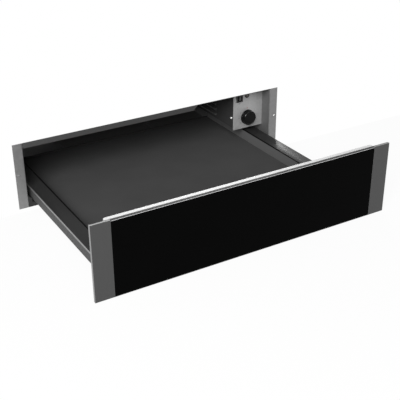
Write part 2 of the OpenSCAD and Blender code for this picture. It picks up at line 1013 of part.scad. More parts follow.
// Brushed steel strip beside the glass, folded back along its outer edge
module front_trim() {
    color("silver")
        slid(1) {
            span([glass_half, front_half], [front_face, front_face + sheet_t], [front_low, front_high]);
            span([front_half - sheet_t, front_half], [front_face + sheet_t, carrier_front],
                [front_low, front_high]);
            for (z = [front_low, front_high - sheet_t])
                span([glass_half, front_half - sheet_t], [front_face + sheet_t, carrier_front - sheet_t],
                    [z, z + sheet_t]);
        }
}

// Rubber buffers on the back of the carrier, facing the lip and the front rail
module buffers() {
    low_z = base_z + lip_h / 2;
    high_z = carrier_top - buffer_d / 2;
    places = [[-buffer_x, low_z], [buffer_x, low_z], [-buffer_x, high_z], [buffer_right_x, high_z]];
    color("black")
        slid(1)
            for (place = places)
                rod(place[0], place[1], carrier_back, carrier_back + buffer_h, buffer_d);
}

// Steel keeper angle under the tray, drawn to the latch's magnet head
module keeper_plate() {
    half_w = keeper_w / 2;
    color("silver")
        slid(1) {
            span([-half_w, half_w], [keeper_y - keeper_foot, keeper_y], [tray_z - keeper_t, tray_z]);
            span([-half_w, half_w], [keeper_y, keeper_y + keeper_t], [floor_in_z + keeper_low, tray_z]);
        }
}

placed() housing_base();
placed() on_side(-1) housing_side();  // housing_left
placed() on_side(1) housing_side();  // housing_right
placed() housing_top();
placed() housing_back();
placed() feet();
placed() control_panel();
placed() louvre_panel();
placed() box_floor();
placed() box_rear();
placed() cover_screw();
placed() thermostat();
placed() selector_shaft();
placed() knob();
placed() switch_body();
placed() rocker();
placed() pilot_lamp();
placed() fan_casing();
placed() fan_wheel();
placed() fan_motor();
placed() heating_element();
placed() thermal_cutout();
placed() terminal_block();
placed() cord_gland();
placed() latch_body();
placed() latch_plunger();
placed() on_side(-1) runner_support();  // runner_support_left
placed() on_side(1) runner_support();  // runner_support_right
placed() on_side(-1) cabinet_rail();  // cabinet_rail_left
placed() on_side(1) cabinet_rail();  // cabinet_rail_right
placed() on_side(-1) cage(outer_ball_x, 1 / 4);  // outer_cage_left
placed() on_side(1) cage(outer_ball_x, 1 / 4);  // outer_cage_right
placed() on_side(-1) middle_rail();  // middle_rail_left
placed() on_side(1) middle_rail();  // middle_rail_right
placed() on_side(-1) cage(inner_ball_x, 3 / 4);  // inner_cage_left
placed() on_side(1) cage(inner_ball_x, 3 / 4);  // inner_cage_right
placed() on_side(-1) drawer_rail();  // drawer_rail_left
placed() on_side(1) drawer_rail();  // drawer_rail_right
placed() tray_pan();
placed() on_side(-1) side_channel();  // side_channel_left
placed() on_side(1) side_channel();  // side_channel_right
placed() tray_plate();
placed() front_carrier();
placed() top_bar();
placed() front_backing();
placed() front_glass();
placed() on_side(-1) front_trim();  // front_trim_left
placed() on_side(1) front_trim();  // front_trim_right
placed() buffers();
placed() keeper_plate();
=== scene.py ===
"""Finishes, folded edges, controls, stage and camera of a built-in warming drawer, pulled open.

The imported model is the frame: +X is right seen from the front, +Y runs back into the niche and
+Z is up, in metres. The origin lies in the frame's front plane, between its two fixing screws.
"""
import logging
import math
from abc import ABC, abstractmethod
from collections.abc import Callable, Iterable
from dataclasses import dataclass
from enum import Enum

import bmesh
import bpy
from mathutils import Matrix, Vector


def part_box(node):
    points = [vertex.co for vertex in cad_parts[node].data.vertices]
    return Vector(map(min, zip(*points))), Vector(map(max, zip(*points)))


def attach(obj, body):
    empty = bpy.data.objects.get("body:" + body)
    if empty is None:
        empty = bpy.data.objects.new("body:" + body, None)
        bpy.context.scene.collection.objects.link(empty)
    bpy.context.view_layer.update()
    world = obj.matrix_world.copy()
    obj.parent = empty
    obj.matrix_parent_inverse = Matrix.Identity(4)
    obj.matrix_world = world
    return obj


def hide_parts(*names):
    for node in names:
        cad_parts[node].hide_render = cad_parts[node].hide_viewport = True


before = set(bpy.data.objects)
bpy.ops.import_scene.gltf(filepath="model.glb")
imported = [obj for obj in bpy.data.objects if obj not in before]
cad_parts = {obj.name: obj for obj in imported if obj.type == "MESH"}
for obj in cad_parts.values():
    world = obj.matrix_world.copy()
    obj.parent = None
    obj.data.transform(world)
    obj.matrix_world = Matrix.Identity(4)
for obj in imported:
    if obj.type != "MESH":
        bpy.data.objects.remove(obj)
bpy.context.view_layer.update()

MM = 0.001
LOG = logging.getLogger("warming_drawer")
SIDES = {"left": -1, "right": 1}
OUT = Vector((0, -1, 0))
BACK = Vector((0, 1, 0))
# Vertices closer than this are one, and an edge this near to a fold's line lies on it.
WELD = 0.005 * MM
ON_LINE = 0.02 * MM
# Faces that meet at less than this lie in one plane.
FLAT_ANGLE = math.radians(0.5)
FOLD_STEPS = 5
# A cutter stands out of what it cuts by this much.
CLEAR = 1 * MM

Piece = bpy.types.Object
Socket = bpy.types.NodeSocket
Tree = bpy.types.NodeTree


def linear(hex_colour: str) -> tuple[float, float, float, float]:
    """Turns an sRGB hex colour into the linear colour that a shader takes.

    Args:
        hex_colour: The colour as "#rrggbb".

    Returns:
        Red, green, blue and an alpha of 1.
    """
    channels = [int(hex_colour[i:i + 2], 16) / 255 for i in (1, 3, 5)]
    curve = [c / 12.92 if c <= 0.04045 else ((c + 0.055) / 1.055) ** 2.4 for c in channels]
    return curve[0], curve[1], curve[2], 1.0


def add_node(tree: Tree, kind: str, options: dict | None = None,
             values: dict | None = None, links: dict | None = None) -> bpy.types.Node:
    """Adds one shader node with its options, its socket values and its links.

    Args:
        tree: The node tree that it goes into.
        kind: The node's type, such as "ShaderNodeTexNoise".
        options: The node's own settings by name.
        values: Constants by the name or number of their socket.
        links: Sockets of other nodes by the name or number of the socket that they feed.

    Returns:
        The new node.
    """
    node = tree.nodes.new(kind)
    for name, option in (options or {}).items():
        setattr(node, name, option)
    for name, value in (values or {}).items():
        node.inputs[name].default_value = value
    for name, source in (links or {}).items():
        tree.links.new(source, node.inputs[name])
    return node


@dataclass(frozen=True)
class Finish(ABC):
    """A finish as it is made, from which one material is built and shared.

    Attributes:
        name: What the surface is and how it was made.
        colour: Its colour as sRGB hex.
        roughness: The roughness of its gloss.
        metallic: 1 on bare metal, 0 on paint, plastic and glass, and between on metal that is dulled
            by grinding or by its zinc.
        gloss: The specular level of what isn't metal.
        contrast: How far its pattern darkens and lightens the colour.
        spread: How far its pattern moves the roughness to either side.
        depth: The depth of its relief in metres, 0 for none.
    """

    name: str
    colour: str
    roughness: float
    metallic: float = 0.0
    gloss: float = 0.5
    contrast: float = 0.0
    spread: float = 0.0
    depth: float = 0.0

    @abstractmethod
    def patterns(self, tree: Tree, place: Socket) -> tuple[Socket, Socket]:
        """Draws the surface's patterns, which run from 0 to 1.

        Args:
            tree: The material's node tree.
            place: The object's own coordinates.

        Returns:
            The pattern of the colour, and the pattern of gloss and relief.
        """

    def material(self) -> bpy.types.Material:
        """Gives the finish's material, built on its first use.

        Returns:
            The material, which all pieces with this finish share.
        """
        known = bpy.data.materials.get(self.name)
        if known:
            return known
        made = bpy.data.materials.new(self.name)
        made.use_nodes = True
        made.diffuse_color = linear(self.colour)
        tree = made.node_tree
        shader = tree.nodes["Principled BSDF"]
        shader.inputs["Base Color"].default_value = linear(self.colour)
        shader.inputs["Roughness"].default_value = self.roughness
        shader.inputs["Metallic"].default_value = self.metallic
        if self.metallic == 0.0:
            shader.inputs["Specular IOR Level"].default_value = self.gloss
        tones, heights = self.patterns(tree, add_node(tree, "ShaderNodeTexCoord").outputs["Object"])
        factor = add_node(tree, "ShaderNodeMapRange", links={0: tones},
                          values={3: 1 - self.contrast, 4: 1 + self.contrast})
        colour = add_node(tree, "ShaderNodeMix", {"data_type": "RGBA", "blend_type": "MULTIPLY"},
                          {"Factor": 1.0, "A": linear(self.colour)}, {"B": factor.outputs[0]})
        tree.links.new(colour.outputs["Result"], shader.inputs["Base Color"])
        rough = add_node(tree, "ShaderNodeMapRange", links={0: heights},
                         values={3: self.roughness - self.spread, 4: self.roughness + self.spread})
        tree.links.new(rough.outputs[0], shader.inputs["Roughness"])
        if self.depth:
            bump = add_node(tree, "ShaderNodeBump", values={"Distance": self.depth, "Strength": 1.0},
                            links={"Height": heights})
            tree.links.new(bump.outputs["Normal"], shader.inputs["Normal"])
        return made


class Grain(Enum):
    """The way that ground or drawn lines run, as their pattern's scale on each axis.

    Along the lines the pattern is stretched about 80 times, so they end out of sight.
    """

    ACROSS = (0.012, 1.0, 1.0)
    DEEP = (1.0, 0.012, 1.0)
    UPRIGHT = (1.0, 1.0, 0.012)


@dataclass(frozen=True)
class BrushedMetal(Finish):
    """Sheet or section ground with a belt: fine lines that run one way and streak the gloss.

    Attributes:
        grain: The way that the lines run.
        line: The width of a line in metres.
    """

    contrast: float = 0.12
    spread: float = 0.08
    depth: float = 0.02 * MM
    grain: Grain = Grain.UPRIGHT
    # A belt of grit 180 leaves lines of 0.1 mm. They are drawn as coarse as they need to show.
    line: float = 0.5 * MM

    def patterns(self, tree: Tree, place: Socket) -> tuple[Socket, Socket]:
        """Draws the lines as noise that is stretched along them.

        Args:
            tree: The material's node tree.
            place: The object's own coordinates.

        Returns:
            The lines, for colour and for gloss and relief.
        """
        along = add_node(tree, "ShaderNodeMapping", values={"Scale": self.grain.value},
                         links={"Vector": place}).outputs[0]
        lines = add_node(tree, "ShaderNodeTexNoise", links={"Vector": along},
                         values={"Scale": 1 / self.line, "Detail": 3.0}).outputs["Fac"]
        return lines, lines


@dataclass(frozen=True)
class CoatedSheet(Finish):
    """Powder-coated sheet: an even colour with the coat's fine orange peel.

    Attributes:
        peel: The width of one dimple of the peel in metres.
        powder: The width of one speck of the powder's tone in metres.
    """

    contrast: float = 0.05
    spread: float = 0.04
    depth: float = 0.03 * MM
    peel: float = 1.6 * MM
    # Grains of powder are 0.05 mm wide. They are drawn as coarse as they need to show.
    powder: float = 0.64 * MM

    def patterns(self, tree: Tree, place: Socket) -> tuple[Socket, Socket]:
        """Draws the powder's specks into the colour and the peel into gloss and relief."""
        specks, peel = (add_node(tree, "ShaderNodeTexNoise", links={"Vector": place},
                                 values={"Scale": 1 / width, "Detail": detail}).outputs["Fac"]
                        for width, detail in ((self.powder, 2.0), (self.peel, 1.0)))
        return specks, peel


@dataclass(frozen=True)
class SpangledSheet(Finish):
    """Hot-dip coated sheet: flat crystals of the coat, each with a tone of its own.

    Attributes:
        crystal: The width of one crystal in metres.
    """

    contrast: float = 0.12
    spread: float = 0.07
    crystal: float = 4 * MM

    def patterns(self, tree: Tree, place: Socket) -> tuple[Socket, Socket]:
        """Draws the crystals as cells, with fine noise inside them.

        Args:
            tree: The material's node tree.
            place: The object's own coordinates.

        Returns:
            The crystals with their noise for the colour, and the crystals alone for the gloss.
        """
        cells = add_node(tree, "ShaderNodeTexVoronoi", values={"Scale": 1 / self.crystal},
                         links={"Vector": place}).outputs["Color"]
        tone = add_node(tree, "ShaderNodeSeparateColor", links={"Color": cells}).outputs["Red"]
        dust = add_node(tree, "ShaderNodeTexNoise", values={"Scale": 4 / self.crystal, "Detail": 3.0},
                        links={"Vector": place}).outputs["Fac"]
        mixed = add_node(tree, "ShaderNodeMix", {"data_type": "FLOAT"}, {"Factor": 0.5},
                         {"A": tone, "B": dust}).outputs["Result"]
        return mixed, tone


@dataclass(frozen=True)
class MouldedPlastic(Finish):
    """Injection-moulded plastic: the mould's eroded texture as a fine relief.

    Attributes:
        texture: The width of one pit of the texture in metres.
    """

    contrast: float = 0.08
    spread: float = 0.05
    depth: float = 0.02 * MM
    # Eroded moulds leave pits of 0.1 mm. They are drawn as coarse as they need to show.
    texture: float = 0.5 * MM

    def patterns(self, tree: Tree, place: Socket) -> tuple[Socket, Socket]:
        """Draws the pits, which also move gloss and colour a little."""
        pits = add_node(tree, "ShaderNodeTexNoise", links={"Vector": place},
                        values={"Scale": 1 / self.texture, "Detail": 2.0}).outputs["Fac"]
        return pits, pits


@dataclass(frozen=True)
class PlateGlass(Finish):
    """Toughened glass over a dark back print, or with a satin face: almost even and very flat.

    Attributes:
        wave: The width of the slow unevenness of wiped glass in metres.
    """

    contrast: float = 0.1
    spread: float = 0.01
    wave: float = 60 * MM

    def patterns(self, tree: Tree, place: Socket) -> tuple[Socket, Socket]:
        """Draws slow noise, which moves gloss and colour a little."""
        wipe = add_node(tree, "ShaderNodeTexNoise", links={"Vector": place},
                        values={"Scale": 1 / self.wave, "Detail": 2.0}).outputs["Fac"]
        return wipe, wipe


# Belt lines run up the strips and spread the light into a calm dark sheen.
FRONT_STEEL = BrushedMetal("brushed graphite steel", "#4a4a4a", 0.42, 0.7, grain=Grain.UPRIGHT)
# Painted highlight: a pale line of steel on edges and louvre rims, where they would catch the light.
EDGE_HIGHLIGHT_STEEL = BrushedMetal("ground bright steel edge", "#8a8a8a", 0.35, 0.7, grain=Grain.ACROSS)
# Fine long lines give the bar one bright soft streak from end to end.
BAR_STEEL = BrushedMetal("brushed bright aluminium", "#d2d2d2", 0.34, 0.4, grain=Grain.ACROSS, contrast=0.04)
# The zinc's crystals break the frame's grey into a faint patchwork.
FRAME_SHEET = SpangledSheet("galvanised frame sheet", "#808080", 0.50, 0.5)
# Primer dulls the sheet to an even dark grey.
PLATE_SHEET = CoatedSheet("grey primed sheet", "#464646", 0.50, gloss=0.2)
# Small crystals give the panel a silvery, slightly cloudy face.
PANEL_SHEET = SpangledSheet("silver galvanised sheet", "#a8a8a8", 0.45, 0.3, crystal=3 * MM)
# A dark matt coat, on which the louvres show by their rims of painted highlight.
BOX_SHEET = CoatedSheet("dark coated sheet", "#3e3e3e", 0.50, gloss=0.2)
# Dull zinc is a grey ground that mirrors nothing.
BASE_SHEET = CoatedSheet("grey galvanised base sheet", "#5c5c5c", 0.50, gloss=0.2)
# Painted shade: a nearly black sheet with a trace of sheen, laid where the light doesn't reach.
SHADE_SHEET = CoatedSheet("dark galvanised sheet", "#2c2c2c", 0.50, gloss=0.2)
# Painted shade: the channel's flange in a darker copy of its sheet, smooth with a weak broad highlight.
SHADED_FLANGE_SHEET = CoatedSheet("anthracite coated sheet", "#303030", 0.35, gloss=0.05)
# Painted shadow: a dull black line between flange and plate.
SHADOW_LINE_SHEET = CoatedSheet("black hem sealer", "#101010", 0.50, gloss=0.02)
# Painted shade: the channel's outer wall in a darker copy of its sheet, a little lighter than the flange and
# quite matt.
SHADED_OUTER_SHEET = CoatedSheet("dark coated channel sheet", "#505050", 0.50, gloss=0.05)
# Painted highlight: a thin bright line along the flange's outer fold.
FLANGE_HIGHLIGHT = BrushedMetal("bare rolled sheet edge", "#8e8e8e", 0.35, 0.5, grain=Grain.DEEP)
# Coated sheet inside the channels is an even mid grey.
CHANNEL_SHEET = CoatedSheet("grey coated channel sheet", "#646464", 0.45, gloss=0.1)
# Glass over black print is deep black, with the faint sharp gloss of a flat pane.
BLACK_GLASS = PlateGlass("black toughened glass", "#040404", 0.04, gloss=0.015)
# Ground glass, pale on the top chamfer only: a real ground edge with a painted highlight along the top.
GLASS_EDGE_HIGHLIGHT = PlateGlass("ground glass edge", "#d8d8d8", 0.30, gloss=0.3)
# An etched face is an even satin grey that shows no mirror image.
TRAY_GLASS = PlateGlass("satin grey glass", "#4c4c4c", 0.40, gloss=0.0, spread=0.03)
# Plastic from a polished mould is black with crisp bright arcs.
SKIRT_PLASTIC = MouldedPlastic("polished black plastic", "#141414", 0.15, gloss=0.4, depth=0.002 * MM)
# A fine eroded texture keeps the knob black, with soft short highlights.
KNOB_PLASTIC = MouldedPlastic("black moulded plastic", "#0c0c0c", 0.30, gloss=0.1)
# Glass-filled plastic is dark, dull and a little grainy.
DARK_PLASTIC = MouldedPlastic("dark heat-proof plastic", "#202020", 0.50)
# Acetal is milky grey with a waxy sheen.
GREY_PLASTIC = MouldedPlastic("grey acetal plastic", "#8f8f8c", 0.40)
# Undyed polyamide is ivory with a soft sheen.
PALE_PLASTIC = MouldedPlastic("pale polyamide", "#d8d4c8", 0.45)
# A nearly mirror-smooth mould gives black with small sharp highlights.
ROCKER_PLASTIC = MouldedPlastic("glossy black plastic", "#0c0c0c", 0.25, gloss=0.1, depth=0.004 * MM)
# Grey plastic on the rocker's right half sets it off from its black left half.
GREY_HALF_PLASTIC = MouldedPlastic("grey window plastic", "#5c5c5c", 0.20, gloss=0.3, depth=0.002 * MM)
# Smoked plastic over an unlit bulb is brownish grey, with one bright point.
LENS_PLASTIC = MouldedPlastic("smoked lens plastic", "#5a5652", 0.12, depth=0.002 * MM)
# Vulcanised rubber is a dull black without highlights.
RUBBER = MouldedPlastic("black rubber", "#171717", 0.75, texture=0.9 * MM)
# Zinc on drawn steel is a cool pale metal with long streaks.
RUNNER_STEEL = BrushedMetal("zinc-plated runner steel", "#b4b6b8", 0.32, 1.0, grain=Grain.DEEP)
# Polished steel is nearly white, with sharp highlights.
BRIGHT_STEEL = BrushedMetal("polished steel", "#f0f0f0", 0.22, 0.8, grain=Grain.DEEP, contrast=0.03)
# Drawn aluminium is pale and softly streaked.
WHEEL_METAL = BrushedMetal("drawn aluminium", "#c4c6c8", 0.35, 1.0, grain=Grain.DEEP)
# Steel that heat has browned is dull and dark.
HEATER_STEEL = BrushedMetal("heat-tinted heater tube", "#4a4642", 0.45, 1.0, grain=Grain.DEEP)
# The edges of stacked sheets are mid grey with lines across.
MOTOR_STEEL = BrushedMetal("motor laminations", "#6c6e70", 0.48, 1.0, grain=Grain.ACROSS)
# Painted shade: small matt marks, darker than the panel, left of the knob and under the switch.
PAINTED_SHADE_MARKS = MouldedPlastic("grey print ink", "#565656", 0.60)
# Print ink in a faded red marks where the knob starts.
PRINT_RED = MouldedPlastic("dull red print ink", "#8a4a46", 0.60)


def deselect_all() -> None:
    """Deselects every object, so that an operator acts on new work alone."""
    for item in bpy.context.selected_objects:
        item.select_set(False)


def activate(piece: Piece) -> None:
    """Makes a piece the only selected and active object.

    Args:
        piece: The piece.
    """
    deselect_all()
    piece.select_set(True)
    bpy.context.view_layer.objects.active = piece


def apply_place(piece: Piece) -> None:
    """Moves a piece's place, turn and size into its mesh."""
    activate(piece)
    bpy.ops.object.transform_apply(location=True, rotation=True, scale=True)


def modify(piece: Piece, kind: str, **settings: object) -> None:
    """Adds a modifier to a piece and applies it.

    Args:
        piece: The piece.
        kind: The modifier's type, such as "BEVEL".
        settings: The modifier's own settings by name.
    """
    activate(piece)
    modifier = piece.modifiers.new(kind.lower(), kind)
    for name, value in settings.items():
        setattr(modifier, name, value)
    bpy.ops.object.modifier_apply(modifier=modifier.name)


def block(name: str, low: Vector, high: Vector) -> Piece:
    """Adds a block between two corners.

    Args:
        name: The piece's name.
        low: Its lowest corner.
        high: Its highest corner.

    Returns:
        The block, at the origin with its place in its mesh.
    """
    deselect_all()
    bpy.ops.mesh.primitive_cube_add(size=1, location=(low + high) / 2)
    piece = bpy.context.object
    piece.name = name
    piece.scale = high - low
    apply_place(piece)
    return piece


def turned(name: str, centre: Vector, axis: Vector, profile: list[tuple[float, float]],
           sides: int = 64) -> Piece:
    """Turns a piece from a disc that is extruded and scaled from station to station.

    Args:
        name: The piece's name.
        centre: The middle of its seat.
        axis: The way that it stands out from its seat.
        profile: The radius and the height above the seat of each station, in metres.
        sides: How many sides it has.

    Returns:
        The closed piece, at the origin with its place in its mesh.
    """
    radius, height = profile[0]
    deselect_all()
    bpy.ops.mesh.primitive_circle_add(vertices=sides, radius=radius, fill_type="NGON",
                                      location=(0, 0, height))
    piece = bpy.context.object
    piece.name = name
    apply_place(piece)
    bpy.ops.object.mode_set(mode="EDIT")
    bpy.ops.mesh.select_mode(type="FACE")
    bpy.ops.mesh.select_all(action="SELECT")
    for next_radius, next_height in profile[1:]:
        bpy.ops.mesh.extrude_region_move(
            TRANSFORM_OT_translate={"value": (0, 0, next_height - height)})
        share = next_radius / radius
        bpy.ops.transform.resize(value=(share, share, 1), center_override=(0, 0, next_height))
        radius, height = next_radius, next_height
    bpy.ops.mesh.select_all(action="SELECT")
    bpy.ops.mesh.normals_make_consistent(inside=False)
    bpy.ops.object.mode_set(mode="OBJECT")
    piece.rotation_euler = axis.to_track_quat("Z", "Y").to_euler()
    piece.location = centre
    apply_place(piece)
    return piece


def cut_away(piece: Piece, cutter: Piece) -> None:
    """Cuts a piece with another one and removes the cutter."""
    modify(piece, "BOOLEAN", operation="DIFFERENCE", object=cutter)
    bpy.data.objects.remove(cutter)


def copied(piece: Piece, name: str, way: Vector) -> Piece:
    """Copies a piece with its own mesh and moves the copy within its mesh.

    Args:
        piece: The piece.
        name: The copy's name.
        way: How far the copy is moved.

    Returns:
        The copy.
    """
    twin = bpy.data.objects.new(name, piece.data.copy())
    bpy.context.scene.collection.objects.link(twin)
    twin.location = way
    apply_place(twin)
    return twin


def in_edit(piece: Piece, steps: Callable[[], None]) -> None:
    """Runs modelling steps on a piece in edit mode, starting with nothing selected.

    Args:
        piece: The piece.
        steps: The steps.
    """
    activate(piece)
    bpy.ops.object.mode_set(mode="EDIT")
    bpy.ops.mesh.select_mode(type="FACE")
    bpy.ops.mesh.select_all(action="DESELECT")
    steps()
    bpy.ops.object.mode_set(mode="OBJECT")


def score(place: Iterable[float], across: Iterable[float]) -> None:
    """Scores the piece in edit mode along a plane, given by a point and its normal."""
    bpy.ops.mesh.select_all(action="SELECT")
    bpy.ops.mesh.bisect(plane_co=place, plane_no=across)


class Part(Enum):
    """What a modelling step picks in a mesh."""

    FACE = "faces"
    EDGE = "edges"


def pick(piece: Piece, part: Part, test: Callable[..., bool]) -> int:
    """Selects the faces or edges that pass a test, and only those.

    Args:
        piece: The piece in edit mode.
        part: What is picked.
        test: Says whether one of them is picked.

    Returns:
        How many are selected.
    """
    bpy.ops.mesh.select_mode(type=part.name)
    bpy.ops.mesh.select_all(action="DESELECT")
    mesh = bmesh.from_edit_mesh(piece.data)
    found = [item for item in getattr(mesh, part.value) if test(item)]
    for item in found:
        item.select_set(True)
    bmesh.update_edit_mesh(piece.data)
    return len(found)


def soften(piece: Piece, width: float, segments: int = 2, angle: float = 30.0) -> None:
    """Rounds a piece's edges that are sharper than an angle in degrees."""
    modify(piece, "BEVEL", width=width, segments=segments, limit_method="ANGLE",
           angle_limit=math.radians(angle))


def smooth(piece: Piece, angle: float = 32.0) -> None:
    """Shades a piece smooth except at edges sharper than an angle in degrees."""
    activate(piece)
    bpy.ops.object.shade_smooth_by_angle(angle=math.radians(angle))


@dataclass(frozen=True)
class Fold:
    """A fold of sheet metal: the long edge that passes two of its coordinates gets a radius.

    Attributes:
        axis: The number of the axis that the edge runs along.
        place: The edge's other two coordinates in metres, in axis order.
        radius: The radius of the fold in metres.
    """

    axis: int
    place: tuple[float, float]
    radius: float

    def holds(self, edge: bmesh.types.BMEdge) -> bool:
        """Says whether an edge lies on the fold's line."""
        across = [i for i in range(3) if i != self.axis]
        return all(abs(vert.co[i] - at) < ON_LINE
                   for vert in edge.verts for i, at in zip(across, self.place))


def folded(name: str, node: str, folds: Iterable[Fold] = (), soft: float = 0.18 * MM) -> Piece:
    """Copies a CAD node into a clean mesh, with rounded folds and softened edges.

    Args:
        name: The new piece's name.
        node: The CAD node that it stands for.
        folds: The folds that get a radius.
        soft: The width of the bevel on every other sharp edge.

    Returns:
        The new piece, at the origin.
    """
    piece = bpy.data.objects.new(name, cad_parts[node].data.copy())
    bpy.context.scene.collection.objects.link(piece)
    piece.data.materials.clear()

    def clean() -> None:
        """Merges doubled vertices and split faces, and rounds the folds."""
        bpy.ops.mesh.select_all(action="SELECT")
        bpy.ops.mesh.remove_doubles(threshold=WELD)
        bpy.ops.mesh.dissolve_limited(angle_limit=FLAT_ANGLE)
        for fold in folds:
            if pick(piece, Part.EDGE, fold.holds):
                bpy.ops.mesh.bevel(offset=fold.radius, offset_type="OFFSET", segments=FOLD_STEPS,
                                   profile=0.5, affect="EDGES", clamp_overlap=False)
            else:
                LOG.warning("%s has no edge on its fold %s", name, fold)

    in_edit(piece, clean)
    soften(piece, soft)
    smooth(piece)
    # Large flat faces shade flat right up to their softened edges.
    modify(piece, "WEIGHTED_NORMAL", keep_sharp=True)
    return piece


def dress(piece: Piece, finish: Finish, slot: str, body: str, *nodes: str) -> None:
    """Gives a finished piece its material and ties it to the frame.

    Args:
        piece: The piece.
        finish: Its finish.
        slot: The name of a material slot; not used.
        body: The body that it rides on.
        nodes: The CAD nodes that it replaces.
    """
    piece.data.materials.clear()
    piece.data.materials.append(finish.material())
    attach(piece, body)
    if nodes:
        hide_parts(*nodes)
    LOG.info("%s: %s on %s", piece.name, finish.name, body)


def dress_faces(piece: Piece, finish: Finish, test: Callable[[bpy.types.MeshPolygon], bool]) -> None:
    """Gives the faces that pass a test another finish.

    Args:
        piece: The piece, dressed before.
        finish: The finish of the picked faces.
        test: Says whether a face is picked.
    """
    piece.data.materials.append(finish.material())
    number = len(piece.data.materials) - 1
    for face in piece.data.polygons:
        if test(face):
            face.material_index = number


def dress_node(node: str, finish: Finish) -> None:
    """Gives a CAD node that stays visible its material."""
    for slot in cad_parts[node].material_slots:
        slot.material = finish.material()
    LOG.info("%s: %s", node, finish.name)


def sides_of(node: str, sign: int) -> tuple[float, float]:
    """Gives the x of the inner and the outer side of a node that lies left or right.

    Args:
        node: The CAD node.
        sign: The side that it lies on.

    Returns:
        The x nearer to the drawer's middle and the x further out.
    """
    low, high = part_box(node)
    near, far = sorted((abs(low.x), abs(high.x)))
    return sign * near, sign * far


@dataclass
class ScrewSet:
    """Cross-head pan screws: one is modelled, and the rest are its copies.

    Attributes:
        head_d: The head's diameter.
        head_h: The head's height.
        slot_w: The width of the cross slot's arms.
        arm: The length of an arm from the middle, as a share of the diameter.
        edge: The bevel on the slot's edges.
        dome: The head's outline, as shares of its radius and height.
    """

    head_d: float = 7.0 * MM
    head_h: float = 2.2 * MM
    slot_w: float = 0.9 * MM
    arm: float = 0.3
    edge: float = 0.08 * MM
    dome: tuple[tuple[float, float], ...] = (
        (1.0, 0.0), (1.0, 0.35), (0.93, 0.62), (0.78, 0.85), (0.52, 0.97), (0.2, 1.0))

    def first(self, name: str, seat: Vector, axis: Vector) -> Piece:
        """Turns one domed head and cuts its cross slot to half of its height.

        Args:
            name: The screw's name.
            seat: The middle of the head's underside.
            axis: The way that the head stands out.

        Returns:
            The screw's head.
        """
        head = turned(name, seat, axis,
                      [(self.head_d / 2 * wide, self.head_h * high) for wide, high in self.dome], sides=32)
        across = [way.copy() for way, share in zip(Matrix.Identity(3), axis) if abs(share) < 0.5]
        top = seat + axis * self.head_h
        arm = self.head_d * self.arm
        for along, aside in (across, across[::-1]):
            reach = along * arm + aside * self.slot_w / 2 + axis * self.head_h * 0.5
            reach = Vector([abs(v) for v in reach])
            cut_away(head, block("slot", top - reach, top + reach))
        soften(head, self.edge, segments=1, angle=50)
        smooth(head)
        return head

    def row(self, names: str, seats: list[Vector], axis: Vector) -> None:
        """Sets a bright screw in the housing on every seat.

        Args:
            names: What the screws are called before their number.
            seats: The middle of each head's underside.
            axis: The way that the heads stand out.
        """
        first = self.first(f"{names}_1", seats[0], axis)
        screws = [first] + [copied(first, f"{names}_{number}", seat - seats[0])
                            for number, seat in enumerate(seats[1:], 2)]
        for screw in screws:
            dress(screw, BRIGHT_STEEL, "bright_steel", "housing")


